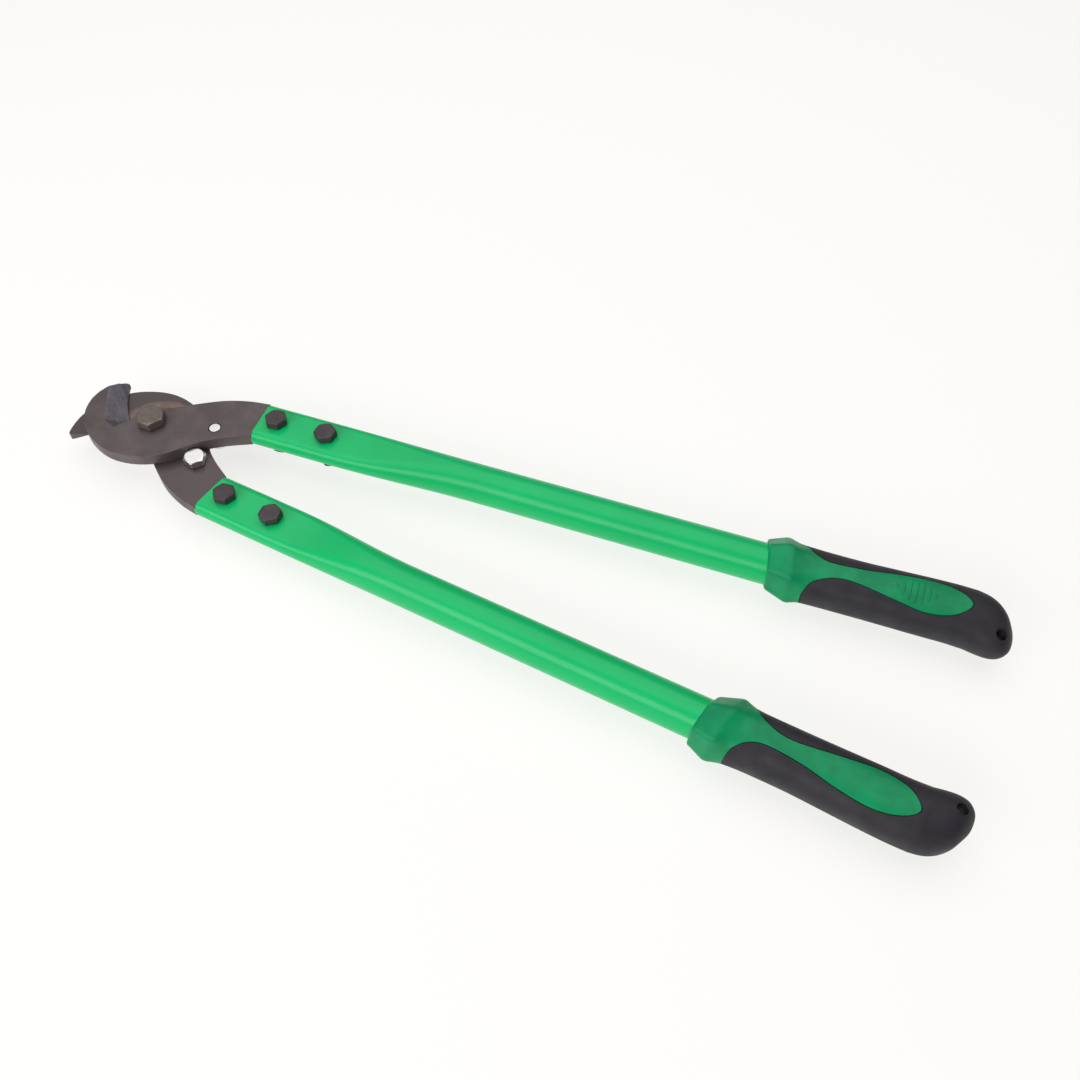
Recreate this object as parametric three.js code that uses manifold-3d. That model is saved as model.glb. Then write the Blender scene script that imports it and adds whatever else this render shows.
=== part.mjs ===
// A two-handed cable cutter, lying closed on its side.
// Frame: millimetres, +Z up. The origin is on the pivot's axis, on the surface that the cutter
// lies on. +X runs towards the grips, +Y towards the upper arm's handle. Both arms are drawn
// alike, but for the hooks: the lower arm is turned over about the X axis at the mating plane.
import * as THREE from 'three';
import { mergeVertices } from 'three/addons/utils/BufferGeometryUtils.js';
import Module from 'manifold-3d';

const wasm = await Module();
wasm.setup();

// Clearances
const SURFACE_GAP = 0.3; // between two pieces that touch
const HOLE_CLEARANCE = 0.4; // between a bolt's shank and its hole, on the radius

// Arms
const HANDLE_SPREAD = THREE.MathUtils.degToRad(3.92); // each handle from the centre line, closed
const TUBE_OFFSET = 30.1; // handle's axis from the pivot, square to the handle

// Jaws
const JAW_THICKNESS = 8;
const BOSS_RADIUS = 13; // solid metal left round the pivot, in the mouth
const EDGE_TIPS = { // each cutting edge's outer end
  upper: new THREE.Vector2(-40.7, 26.4),
  lower: new THREE.Vector2(-39.6, 21.4),
};
const EDGE_HEEL = new THREE.Vector2(-15.6, -4.4); // and its inner end
const EDGE_SAG = 2.4; // how far the edge is hollowed between its ends
const EDGE_LAND = 0.8; // thickness left at the cutting edge
const BEVEL_WIDTH = 14.8;
const BEVEL_CORNER = new THREE.Vector2(-30, -11.3); // where the bevel starts to narrow
const BEVEL_END = new THREE.Vector2(-20.5, -14.4); // foot of the step that ends the bevel
const SHANK_HALF_WIDTH = 15; // where the jaw leaves the handle's mouth
const TANG_IN_ROUND = 1.1; // tang's reach into the rounded sides of the flattened tube

// Pivot: M10 bolt, washer and nut
const PIVOT_RADIUS = 5;
const PIVOT_HEAD_FLATS = 17;
const PIVOT_HEAD_HEIGHT = 6.4;
const PIVOT_WASHER_RADIUS = 10;
const PIVOT_WASHER_THICKNESS = 2;
const PIVOT_NUT_HEIGHT = 8.4;
const PIVOT_THREAD_PROUD = 1.6;

// Stops: an M8 bolt in each jaw, whose head meets the other jaw
const STOP_RADIUS = 4;
const STOP_POSITION = new THREE.Vector2(40.8, 12.2);
const STOP_TURN = THREE.MathUtils.degToRad(-49); // sets a flat of the head along the other jaw

// M8 heads, and flanged lock nuts
const M8_HEAD_FLATS = 13;
const M8_HEAD_HEIGHT = 5.3;
const M8_NUT_HEIGHT = 9.6;
const M8_FLANGE_RADIUS = 8.9;
const M8_FLANGE_THICKNESS = 1.5;
const M8_THREAD_PROUD = 0.8;

// Handle tubes
const TUBE_RADIUS = 12.5;
const TUBE_WALL = 1.5;
const MOUTH_START = 66.7; // distances along the handle are taken from the pivot
const MOUTH_SLANT = -0.055; // the mouth is cut a little off square
const FLAT_WIDTH = 31.8;
const FLAT_INBOARD = 4.3; // flattened end's centre line, from the tube's axis
const SHAPED_LENGTH = 116; // from the flattened end to the round tube
const TUBE_END = 512;
const HANDLE_BOLT_RADIUS = 4;
const BOLT_SPACING = 36.1;
const BOLT_INSET = 12.4; // front bolt, from the tube's mouth
const TANG_OVERRUN = 9.8; // jaw's tang, past the rear bolt
const SHAPED_OVERLAP = 11; // the tube starts to round this far before the tang ends

// Grips. Distances along a grip are taken from the end of the tube inside it.
const GRIP_TWIST = THREE.MathUtils.degToRad(8); // about the handle's axis
const GRIP_WALL = 1.4; // skin over the core, above and below
const COLLAR_START = -105.7;
const COLLAR_RIDGE = -92.7;
const COLLAR_END = -84.7;
const COLLAR_SLANT = 0.2; // the collar's ends lean, and start sooner on the outboard side
const COLLAR_FRONT_WALL = 1.5; // over the core's sleeve, to the corners of its six sides
const COLLAR_RIDGE_WALL = 5.9;
const COLLAR_END_WALL = 3.8;
const COLLAR_CORNERS = THREE.MathUtils.degToRad(14); // where the first corner stands
const COLLAR_ROUNDING = THREE.MathUtils.degToRad(10); // each corner is cut off this far each way
const SLEEVE_WALL = 1;
const SLEEVE_END = 13;
const LEAF_TIP = new THREE.Vector2(11.3, 1.5);
const HANG_HOLE = new THREE.Vector2(29.6, -9.6);
const HANG_HOLE_RADIUS = 3.1;

// Facets
const ROUND_SIDES = 16; // bolts and their holes
const TUBE_SIDES = 30; // leaves no vertex on the flattened end's middle line
const GRIP_SIDES = 32;
const COLLAR_SIDES = 6;

// Sizes that follow
const MATING_GAP = SURFACE_GAP / 2; // from the mating plane to each jaw
const JAW_TOP = MATING_GAP + JAW_THICKNESS;
const JAW_MIDDLE = MATING_GAP + JAW_THICKNESS / 2;
const FLAT_HALF_THICKNESS = JAW_THICKNESS / 2 + SURFACE_GAP + TUBE_WALL;
const PIVOT_STACK = PIVOT_THREAD_PROUD + PIVOT_NUT_HEIGHT + PIVOT_WASHER_THICKNESS + 2 * SURFACE_GAP;
const MATING_Z = PIVOT_STACK + JAW_TOP; // height of the mating plane, and of both handles' axes
const TANG_HALF_WIDTH = FLAT_WIDTH / 2 - FLAT_HALF_THICKNESS + TANG_IN_ROUND;
const FRONT_BOLT = MOUTH_START + BOLT_INSET;
const REAR_BOLT = FRONT_BOLT + BOLT_SPACING;
const TANG_END = REAR_BOLT + TANG_OVERRUN;
const FLAT_END = TANG_END - SHAPED_OVERLAP;
const ROUND_START = FLAT_END + SHAPED_LENGTH;
const BORE_RADIUS = TUBE_RADIUS + SURFACE_GAP;
const SLEEVE_RADIUS = BORE_RADIUS + SLEEVE_WALL;

// Materials
const materials = {
  blackOxideSteel: { color: '#6a5f5f', roughness: 0.5, metalness: 0.7 },
  blackOxideBolt: { color: '#544c50', roughness: 0.5, metalness: 0.7 },
  zincPlate: { color: '#dcdcdc', roughness: 0.3, metalness: 0.9 },
  greenPaint: { color: '#05b45a', roughness: 0.25, metalness: 0 },
  greenPlastic: { color: '#00965a', roughness: 0.45, metalness: 0 },
  blackRubber: { color: '#3c3a40', roughness: 0.7, metalness: 0 },
};

function mesh(name, geometry, material) {
  const piece = new THREE.Mesh(geometry, new THREE.MeshStandardMaterial(materials[material]));
  piece.name = name;
  return piece;
}

// Solids: closed geometry to manifold-3d and back

function solidOf(geometry) {
  const bare = new THREE.BufferGeometry();
  bare.setAttribute('position', geometry.getAttribute('position'));
  bare.setIndex(geometry.getIndex());
  const merged = mergeVertices(bare, 1e-4);
  const corners = merged.getIndex().array;
  const kept = [];
  for (let i = 0; i < corners.length; i += 3) {
    const [a, b, c] = corners.slice(i, i + 3);
    if (a !== b && b !== c && c !== a) kept.push(a, b, c);
  }
  return new wasm.Manifold(new wasm.Mesh({
    numProp: 3,
    vertProperties: new Float32Array(merged.getAttribute('position').array),
    triVerts: new Uint32Array(kept),
  }));
}

function geometryOf(solid) {
  const { numProp, vertProperties, triVerts } = solid.getMesh();
  const positions = new Float32Array((vertProperties.length / numProp) * 3);
  for (let i = 0; i < positions.length / 3; i += 1) {
    positions.set(vertProperties.subarray(i * numProp, i * numProp + 3), i * 3);
  }
  const geometry = new THREE.BufferGeometry();
  geometry.setAttribute('position', new THREE.BufferAttribute(positions, 3));
  geometry.setIndex(new THREE.BufferAttribute(new Uint32Array(triVerts), 1));
  return geometry;
}

function subtractAll(body, cutters) {
  return cutters.reduce((rest, cutter) => rest.subtract(cutter), body);
}

// Moves every vertex of a geometry through a function of its place
function reshape(geometry, place) {
  const positions = geometry.getAttribute('position');
  const point = new THREE.Vector3();
  for (let i = 0; i < positions.count; i += 1) {
    point.fromBufferAttribute(positions, i);
    place(point);
    positions.setXYZ(i, point.x, point.y, point.z);
  }
  return geometry;
}

// An upright prism of an outline, between two heights
function prism(shape, bottom, top, curveSegments = 8) {
  const options = { depth: top - bottom, bevelEnabled: false, curveSegments };
  return new THREE.ExtrudeGeometry(shape, options).translate(0, 0, bottom);
}

function upright(radius, bottom, top, x = 0, y = 0) {
  const geometry = new THREE.CylinderGeometry(radius, radius, top - bottom, ROUND_SIDES);
  return geometry.rotateX(Math.PI / 2).translate(x, y, (top + bottom) / 2);
}

// A lathe turned to lie along X, from [distance along X, radius] pairs
function turnedAlongX(profile, sides, start = 0) {
  const points = profile.map(([along, radius]) => new THREE.Vector2(radius, along));
  return new THREE.LatheGeometry(points, sides, start).rotateZ(-Math.PI / 2);
}

// Fasteners. Each stands on the plane z = 0 with its shank below.

function hexagon(acrossFlats) {
  const corner = acrossFlats / 2 / Math.cos(Math.PI / 6);
  const corners = Array.from({ length: 6 }, (_, i) => {
    const angle = (i * Math.PI) / 3;
    return new THREE.Vector2(corner * Math.cos(angle), corner * Math.sin(angle));
  });
  return new THREE.Shape(corners);
}

function hexBolt(acrossFlats, headHeight, shankRadius, shankLength) {
  const head = solidOf(prism(hexagon(acrossFlats), 0, headHeight));
  const shank = solidOf(upright(shankRadius, -shankLength, headHeight / 2));
  return geometryOf(head.add(shank));
}

function hexNut(acrossFlats, height, boltRadius, flangeRadius = 0) {
  let body = solidOf(prism(hexagon(acrossFlats), -height, 0));
  if (flangeRadius > 0) body = body.add(solidOf(upright(flangeRadius, -M8_FLANGE_THICKNESS, 0)));
  const bore = solidOf(upright(boltRadius + HOLE_CLEARANCE, -height - 1, 1));
  return geometryOf(body.subtract(bore));
}

function ring(outerRadius, innerRadius, thickness) {
  const profile = [
    new THREE.Vector2(innerRadius, -thickness),
    new THREE.Vector2(outerRadius, -thickness),
    new THREE.Vector2(outerRadius, 0),
    new THREE.Vector2(innerRadius, 0),
    new THREE.Vector2(innerRadius, -thickness),
  ];
  return new THREE.LatheGeometry(profile, ROUND_SIDES).rotateX(Math.PI / 2);
}

// Jaw. Its outline is drawn at rest, seen from above, with the pivot at the origin.

// A place given along the handle, and outboard of the pivot, in the jaw's own axes
function onHandle(along, outboard) {
  return new THREE.Vector2(along, outboard).rotateAround(new THREE.Vector2(), HANDLE_SPREAD);
}

function mouthAt(outboard) {
  return MOUTH_START + MOUTH_SLANT * (outboard - (TUBE_OFFSET - FLAT_INBOARD));
}

// The hollowed cutting edge is an arc; this is its centre and radius
function edgeArc(side) {
  const tip = EDGE_TIPS[side];
  const chord = EDGE_HEEL.clone().sub(tip);
  const radius = chord.lengthSq() / (8 * EDGE_SAG) + EDGE_SAG / 2;
  const toMouth = new THREE.Vector2(-chord.y, chord.x).normalize();
  const middle = tip.clone().add(EDGE_HEEL).multiplyScalar(0.5);
  return { tip, centre: middle.addScaledVector(toMouth, radius - EDGE_SAG), radius };
}

// The back of each hook, up to its tip. The lower jaw's hook is the broader.
const HOOK_BACKS = {
  upper: [
    [-46, -12.2],
    [-50.4, -0.8],
    [-50.6, 7.5],
    [-49.2, 13],
    [-47.2, 18.6],
    [-45.6, 23.6],
    [-44.2, 26.6],
    [-42.4, 27.5],
  ],
  lower: [
    [-46.8, -12.2],
    [-52.6, -0.8],
    [-54.5, 8],
    [-54.3, 15],
    [-53.5, 20],
    [-52.4, 24],
    [-50.9, 25.9],
    [-47.2, 25],
    [-43.6, 23.3],
  ],
};

function jawOutline(side) {
  const flatCentre = TUBE_OFFSET - FLAT_INBOARD;
  const shoulder = (side) => {
    const outboard = flatCentre + side * SHANK_HALF_WIDTH;
    return onHandle(mouthAt(outboard) - SURFACE_GAP, outboard);
  };
  const tang = (side, along) => {
    const outboard = flatCentre + side * TANG_HALF_WIDTH;
    return onHandle(along ?? mouthAt(outboard) - SURFACE_GAP, outboard);
  };
  const edge = edgeArc(side);
  const angleOf = (point) => point.clone().sub(edge.centre).angle();
  const outline = new THREE.Shape();
  outline.moveTo(edge.tip.x, edge.tip.y);
  outline.absarc(edge.centre.x, edge.centre.y, edge.radius, angleOf(edge.tip), angleOf(EDGE_HEEL));
  outline.absarc(0, 0, BOSS_RADIUS, Math.PI * 1.13, Math.PI * 0.52, true);
  outline.splineThru([
    new THREE.Vector2(8, 18.4),
    new THREE.Vector2(15.8, 24.6),
    new THREE.Vector2(32.4, 35.7),
    new THREE.Vector2(48.4, 42.2),
    shoulder(1),
  ]);
  for (const corner of [tang(1), tang(1, TANG_END), tang(-1, TANG_END), tang(-1), shoulder(-1)]) {
    outline.lineTo(corner.x, corner.y);
  }
  outline.splineThru([
    new THREE.Vector2(52, 7),
    new THREE.Vector2(40.2, -2),
    new THREE.Vector2(33.2, -10.2),
    new THREE.Vector2(22.6, -22.3),
    new THREE.Vector2(5, -31.2),
    new THREE.Vector2(-14, -32.6),
    new THREE.Vector2(-33.5, -25.2),
    ...HOOK_BACKS[side].map(([x, y]) => new THREE.Vector2(x, y)),
    edge.tip,
  ]);
  return outline;
}

// What grinding takes off the hook's outer face, from the full thickness down to the edge
function bevelCutter(side) {
  const edge = edgeArc(side);
  const overrun = 3; // past the edge, into the mouth
  const inner = edge.radius + BEVEL_WIDTH;
  const outer = edge.radius - overrun;
  const angleOf = (point) => point.clone().sub(edge.centre).angle();
  const beyondTip = angleOf(edge.tip) - 0.14;
  const corner = angleOf(BEVEL_CORNER);
  const heel = angleOf(EDGE_HEEL) + 0.005;
  const band = new THREE.Shape();
  band.absarc(edge.centre.x, edge.centre.y, inner, beyondTip, corner);
  band.lineTo(BEVEL_END.x, BEVEL_END.y);
  band.absarc(edge.centre.x, edge.centre.y, outer, heel, beyondTip, true);
  const slope = (JAW_TOP - MATING_GAP - EDGE_LAND) / BEVEL_WIDTH;
  const atEdge = MATING_GAP + EDGE_LAND - slope * overrun;
  return reshape(prism(band, 0, JAW_TOP + 1, 16), (point) => {
    const reach = Math.hypot(point.x - edge.centre.x, point.y - edge.centre.y);
    if (point.z > 0) return;
    point.z = reach < edge.radius ? atEdge : JAW_TOP;
  });
}

function handleBoltHoles(bottom, top) {
  return [FRONT_BOLT, REAR_BOLT].map((along) => {
    const place = onHandle(along, TUBE_OFFSET - FLAT_INBOARD);
    return solidOf(upright(HANDLE_BOLT_RADIUS + HOLE_CLEARANCE, bottom, top, place.x, place.y));
  });
}

function jawGeometry(side) {
  const plate = solidOf(prism(jawOutline(side), MATING_GAP, JAW_TOP, 5));
  const bottom = MATING_GAP - 1;
  const top = JAW_TOP + 1;
  return geometryOf(subtractAll(plate, [
    solidOf(bevelCutter(side)),
    solidOf(upright(PIVOT_RADIUS + HOLE_CLEARANCE, bottom, top)),
    solidOf(upright(STOP_RADIUS + HOLE_CLEARANCE, bottom, top, STOP_POSITION.x, STOP_POSITION.y)),
    ...handleBoltHoles(bottom, top),
  ]));
}

// Handle tube: round at the grip, flattened round the jaw's tang. Its axis is the local X axis.

function smooth(t) {
  return THREE.MathUtils.smootherstep(t, 0, 1);
}

function tubeGeometry() {
  const stations = [0, FLAT_END - MOUTH_START];
  const loft = ROUND_START - FLAT_END;
  for (const share of [0.16, 0.32, 0.5, 0.68, 0.84, 1]) stations.push(stations[1] + share * loft);
  stations.push(TUBE_END - MOUTH_START);
  const bore = TUBE_RADIUS - TUBE_WALL;
  const outside = stations.map((along) => [MOUTH_START + along, TUBE_RADIUS]);
  const inside = stations.map((along) => [MOUTH_START + along, bore]).reverse();
  const wall = turnedAlongX([...outside, ...inside, outside[0]], TUBE_SIDES, Math.PI / 2);
  const flatReach = FLAT_WIDTH / 2 - FLAT_HALF_THICKNESS;
  const shaped = reshape(wall, (point) => {
    const round = smooth((point.x - FLAT_END) / (ROUND_START - FLAT_END));
    const flat = 1 - round;
    const radius = Math.hypot(point.y, point.z);
    const inset = TUBE_RADIUS - radius;
    const rounding = THREE.MathUtils.lerp(FLAT_HALF_THICKNESS, TUBE_RADIUS, round) - inset;
    const across = Math.sign(point.y) * flatReach * flat + (point.y / radius) * rounding;
    const forward = (FLAT_END - point.x) / (FLAT_END - MOUTH_START);
    point.z = (point.z / radius) * rounding + JAW_MIDDLE * flat;
    point.x += MOUTH_SLANT * across * Math.max(forward, 0);
    point.y = across - FLAT_INBOARD * flat;
  });
  const holes = [FRONT_BOLT, REAR_BOLT].map((along) => solidOf(
    upright(HANDLE_BOLT_RADIUS + HOLE_CLEARANCE, -20, 20, along, -FLAT_INBOARD),
  ));
  return geometryOf(subtractAll(solidOf(shaped), holes));
}

// Grip: a hard core, which shows as the collar and as a leaf on each face, and a soft skin

// The closed grip's body: distance along, then outboard, inboard and upper walls over the sleeve
const BODY_STATIONS = [
  [COLLAR_END - 7, 3.2, 3.2, 1.8],
  [-72, 2.5, 2.8, GRIP_WALL],
  [-52, 2.5, 2.6, GRIP_WALL],
  [-32, 3.4, 2.6, GRIP_WALL],
  [-12, 4.4, 2.7, GRIP_WALL],
  [3, 4.8, 2.6, GRIP_WALL],
  [14, 4.6, 3.2, 1.2],
  [21, 3.2, 4.6, 0.4],
  [27, 0, 5.2, -0.9],
  [32, -5.2, 4.4, -3.2],
  [35.4, -11.6, 2, -6.6],
  [37.4, -16.6, -1.2, -10.3],
];
const BODY_NOSE = [38, 7.6]; // distance along, and inboard of the axis
const BODY_SQUARENESS = 2.3; // exponent of the section's superellipse

function bodyGeometry() {
  const profile = [[BODY_STATIONS[0][0], 0], ...BODY_STATIONS.map(([along]) => [along, 1])];
  const closed = turnedAlongX([...profile, [BODY_NOSE[0], 0]], GRIP_SIDES);
  const bow = (share) => Math.sign(share) * Math.abs(share) ** (2 / BODY_SQUARENESS);
  return reshape(closed, (point) => {
    const station = BODY_STATIONS.find(([along]) => Math.abs(along - point.x) < 0.01);
    const [outboard, inboard, height] = station
      ? station.slice(1).map((wall) => SLEEVE_RADIUS + wall)
      : [-BODY_NOSE[1], BODY_NOSE[1], 0];
    point.y = (outboard - inboard) / 2 + (bow(point.y) * (outboard + inboard)) / 2;
    point.z = bow(point.z) * height;
  });
}

// The leaf, from the collar to its tip, grown all round by a clearance
const LEAF_INBOARD = [
  [COLLAR_END - 8, 24],
  [COLLAR_END + 2, 17.5],
  [-78, 11.5],
  [-72, 7.8],
  [-65, 5.3],
  [-56, 4.6],
  [-42, 6.4],
  [-27, 8.7],
  [-14, 10.2],
  [-2, 8.9],
  [6, 5.2],
];
const LEAF_OUTBOARD = [
  [COLLAR_END - 8, 24],
  [COLLAR_END - 3, 17.5],
  [-84.5, 12],
  [-78.5, 6.6],
  [-69, 4],
  [-49, 5.6],
  [-32, 8.9],
  [-14, 11.1],
  [-2, 10.2],
  [7, 6.8],
];

function leafGeometry(grown) {
  const inboard = LEAF_INBOARD.map(([x, y]) => new THREE.Vector2(x, -y - grown));
  const outboard = LEAF_OUTBOARD.map(([x, y]) => new THREE.Vector2(x, y + grown));
  const tip = new THREE.Vector2(LEAF_TIP.x + grown, LEAF_TIP.y);
  const leaf = new THREE.Shape();
  leaf.moveTo(inboard[0].x, inboard[0].y);
  leaf.splineThru([...inboard.slice(1), tip, ...outboard.reverse()]);
  return prism(leaf, -30, 30, 2);
}

// Leans a place on the collar, or on the skin's front end, to the collar's slant
function lean(point) {
  point.x -= COLLAR_SLANT * point.y;
}

function collarSolid() {
  const profile = [
    [COLLAR_START, 0],
    [COLLAR_START, SLEEVE_RADIUS + COLLAR_FRONT_WALL - 0.8],
    [COLLAR_START + 1, SLEEVE_RADIUS + COLLAR_FRONT_WALL],
    [COLLAR_RIDGE - 1.2, SLEEVE_RADIUS + COLLAR_RIDGE_WALL - 0.3],
    [COLLAR_RIDGE, SLEEVE_RADIUS + COLLAR_RIDGE_WALL],
    [COLLAR_RIDGE + 2, SLEEVE_RADIUS + COLLAR_RIDGE_WALL - 0.3],
    [COLLAR_END, SLEEVE_RADIUS + COLLAR_END_WALL],
    [COLLAR_END, 0],
  ];
  const lathe = turnedAlongX(profile, 2 * COLLAR_SIDES);
  const between = Math.PI / COLLAR_SIDES;
  return solidOf(reshape(lathe, (point) => {
    const radius = Math.hypot(point.y, point.z);
    const turn = Math.round(Math.atan2(point.z, point.y) / between);
    const rounding = turn % 2 === 0 ? -COLLAR_ROUNDING : COLLAR_ROUNDING;
    const angle = COLLAR_CORNERS + Math.floor(turn / 2) * 2 * between + rounding;
    point.y = radius * Math.cos(angle);
    point.z = radius * Math.sin(angle);
    lean(point);
  }));
}

function sleeveSolid(grown) {
  const radius = SLEEVE_RADIUS + grown;
  const start = COLLAR_START + 6;
  const end = SLEEVE_END + grown;
  return solidOf(turnedAlongX([[start, 0], [start, radius], [end, radius], [end, 0]], GRIP_SIDES));
}

function gripGeometries() {
  const body = solidOf(bodyGeometry());
  const leaf = solidOf(leafGeometry(0)).intersect(body);
  const boreStart = COLLAR_START - 6;
  const bore = [
    [boreStart, 0],
    [boreStart, BORE_RADIUS],
    [SURFACE_GAP, BORE_RADIUS],
    [SURFACE_GAP, 0],
  ];
  const core = collarSolid()
    .add(sleeveSolid(0))
    .add(leaf)
    .subtract(solidOf(turnedAlongX(bore, GRIP_SIDES)));
  const front = new THREE.BoxGeometry(60, 80, 80).translate(COLLAR_END + SURFACE_GAP - 30, 0, 0);
  reshape(front, lean);
  const skin = subtractAll(body, [
    sleeveSolid(SURFACE_GAP),
    solidOf(leafGeometry(SURFACE_GAP)),
    solidOf(front),
    solidOf(upright(HANG_HOLE_RADIUS, -30, 30, HANG_HOLE.x, HANG_HOLE.y)),
  ]);
  return { core: geometryOf(core), skin: geometryOf(skin) };
}

// Assembly. An arm's z = 0 is the mating plane, with its jaw above it.

const shapes = {
  tube: tubeGeometry(),
  ...gripGeometries(),
  stopBolt: hexBolt(M8_HEAD_FLATS, M8_HEAD_HEIGHT, STOP_RADIUS, JAW_THICKNESS + SURFACE_GAP),
  handleBolt: hexBolt(
    M8_HEAD_FLATS,
    M8_HEAD_HEIGHT,
    HANDLE_BOLT_RADIUS,
    2 * FLAT_HALF_THICKNESS + 2 * SURFACE_GAP + M8_NUT_HEIGHT + M8_THREAD_PROUD,
  ),
  handleNut: hexNut(M8_HEAD_FLATS, M8_NUT_HEIGHT, HANDLE_BOLT_RADIUS, M8_FLANGE_RADIUS),
};

// headsUp is 1 where the bolt heads are on the jaw's outer face, -1 where they are on the inner
function arm(side, headsUp) {
  const group = new THREE.Group();
  group.add(mesh(`jaw_${side}`, jawGeometry(side), 'blackOxideSteel'));

  const stop = mesh(`stop_bolt_${side}`, shapes.stopBolt, 'zincPlate');
  stop.position.set(STOP_POSITION.x, STOP_POSITION.y, MATING_GAP - SURFACE_GAP);
  stop.rotation.set(Math.PI, 0, STOP_TURN, 'ZXY');
  group.add(stop);

  const handle = new THREE.Group();
  handle.rotation.z = HANDLE_SPREAD;
  group.add(handle);
  const onAxis = new THREE.Group();
  onAxis.position.y = TUBE_OFFSET;
  handle.add(onAxis);
  onAxis.add(mesh(`handle_tube_${side}`, shapes.tube, 'greenPaint'));

  const grip = new THREE.Group();
  grip.position.x = TUBE_END;
  grip.rotation.x = GRIP_TWIST;
  grip.add(mesh(`grip_core_${side}`, shapes.core, 'greenPlastic'));
  grip.add(mesh(`grip_skin_${side}`, shapes.skin, 'blackRubber'));
  onAxis.add(grip);

  const reach = FLAT_HALF_THICKNESS + SURFACE_GAP;
  for (const [place, along] of [['front', FRONT_BOLT], ['rear', REAR_BOLT]]) {
    const bolting = new THREE.Group();
    bolting.position.set(along, -FLAT_INBOARD, JAW_MIDDLE);
    bolting.rotation.x = headsUp > 0 ? 0 : Math.PI;
    const bolt = mesh(`handle_bolt_${side}_${place}`, shapes.handleBolt, 'blackOxideBolt');
    const nut = mesh(`handle_nut_${side}_${place}`, shapes.handleNut, 'blackOxideBolt');
    bolt.position.z = reach;
    nut.position.z = -reach;
    bolting.add(bolt, nut);
    onAxis.add(bolting);
  }
  return group;
}

function pivot() {
  const group = new THREE.Group();
  const headSeat = MATING_Z + JAW_TOP + SURFACE_GAP;
  const bolt = mesh(
    'pivot_bolt',
    hexBolt(PIVOT_HEAD_FLATS, PIVOT_HEAD_HEIGHT, PIVOT_RADIUS, headSeat),
    'blackOxideSteel',
  );
  bolt.position.z = headSeat;
  const washerTop = MATING_Z - JAW_TOP - SURFACE_GAP;
  const washer = mesh(
    'pivot_washer',
    ring(PIVOT_WASHER_RADIUS, PIVOT_RADIUS + HOLE_CLEARANCE, PIVOT_WASHER_THICKNESS),
    'blackOxideBolt',
  );
  washer.position.z = washerTop;
  const nut = mesh(
    'pivot_nut',
    hexNut(PIVOT_HEAD_FLATS, PIVOT_NUT_HEIGHT, PIVOT_RADIUS),
    'blackOxideBolt',
  );
  nut.position.z = washerTop - PIVOT_WASHER_THICKNESS - SURFACE_GAP;
  group.add(bolt, washer, nut);
  return group;
}

const cutter = new THREE.Group();
const upperArm = arm('upper', 1);
const lowerArm = arm('lower', -1);
upperArm.position.z = MATING_Z;
lowerArm.position.z = MATING_Z;
lowerArm.rotation.x = Math.PI;
cutter.add(upperArm, lowerArm, pivot());

export default cutter;
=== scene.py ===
"""Finished pieces, materials and studio for a two-handed cable cutter with hooked bypass jaws.

Shapes are drawn in millimetres in the axes of one arm, with the plane where the jaws meet at
z = 0 and the jaw above it. arm_matrix() or handle_matrix() sets them on the upper or the lower
arm, and finish_piece() turns them to metres.
"""

from collections import namedtuple
from math import cos, pi, radians, sin, tan

import bmesh
import bpy
from mathutils import Matrix, Vector


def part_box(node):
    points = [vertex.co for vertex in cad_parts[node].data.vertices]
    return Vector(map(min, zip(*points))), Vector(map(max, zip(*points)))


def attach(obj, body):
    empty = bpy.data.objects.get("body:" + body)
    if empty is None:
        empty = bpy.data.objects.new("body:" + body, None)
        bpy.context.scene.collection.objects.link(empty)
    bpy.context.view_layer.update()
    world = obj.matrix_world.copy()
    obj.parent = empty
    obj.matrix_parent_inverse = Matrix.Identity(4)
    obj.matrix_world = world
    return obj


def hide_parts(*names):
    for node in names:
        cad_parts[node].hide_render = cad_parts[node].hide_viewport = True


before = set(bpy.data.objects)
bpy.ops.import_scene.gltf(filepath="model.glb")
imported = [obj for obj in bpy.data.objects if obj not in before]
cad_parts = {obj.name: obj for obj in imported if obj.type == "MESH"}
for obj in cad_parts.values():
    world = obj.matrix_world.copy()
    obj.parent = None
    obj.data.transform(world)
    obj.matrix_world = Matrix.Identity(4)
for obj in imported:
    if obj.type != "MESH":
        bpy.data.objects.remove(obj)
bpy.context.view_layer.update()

bl_info = {
    "name": "Cable Cutter",
    "version": (1, 0, 0),
    "blender": (4, 5, 0),
    "location": "View3D > Sidebar > Cable Cutter",
    "description": "Builds the finished pieces of a two-handed cable cutter",
    "category": "Object",
}

MM = 0.001
ARMS = ("lower", "upper")
ENDS = ("front", "rear")

# Places that follow the solid model
MATING_Z = (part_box("jaw_upper")[0].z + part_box("jaw_lower")[1].z) / 2 / MM
SPREAD = radians(3.92)  # each handle from the centre line
TUBE_OFFSET = 30.1  # handle's axis from the pivot
FLAT_INBOARD = 4.3  # flattened end's middle, from the tube's axis
BOLT_ALONG = {"front": 79.1, "rear": 115.2}
STOP_AT = (40.8, 12.2)
STOP_TURN = radians(-49)
EDGE_TIPS = {"upper": Vector((-40.7, 26.4)), "lower": Vector((-39.6, 21.4))}
EDGE_HEEL = Vector((-15.6, -4.4))
EDGE_SAG = 2.4
HOOK_START = -14  # the hooks lie in front of this
SEAM_GAP = 0.3  # between pieces that touch
HALF_GAP = SEAM_GAP / 2  # from the mating plane to each jaw
GRIP_TWIST = radians(8)

# Standard fasteners: across flats, head height, radius, thread pitch and nut height
Thread = namedtuple("Thread", "across head radius pitch nut")
M8 = Thread(13, 5.3, 4, 1.25, 9.6)
M10 = Thread(17, 6.4, 5, 1.5, 8.4)


# Colours

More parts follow.
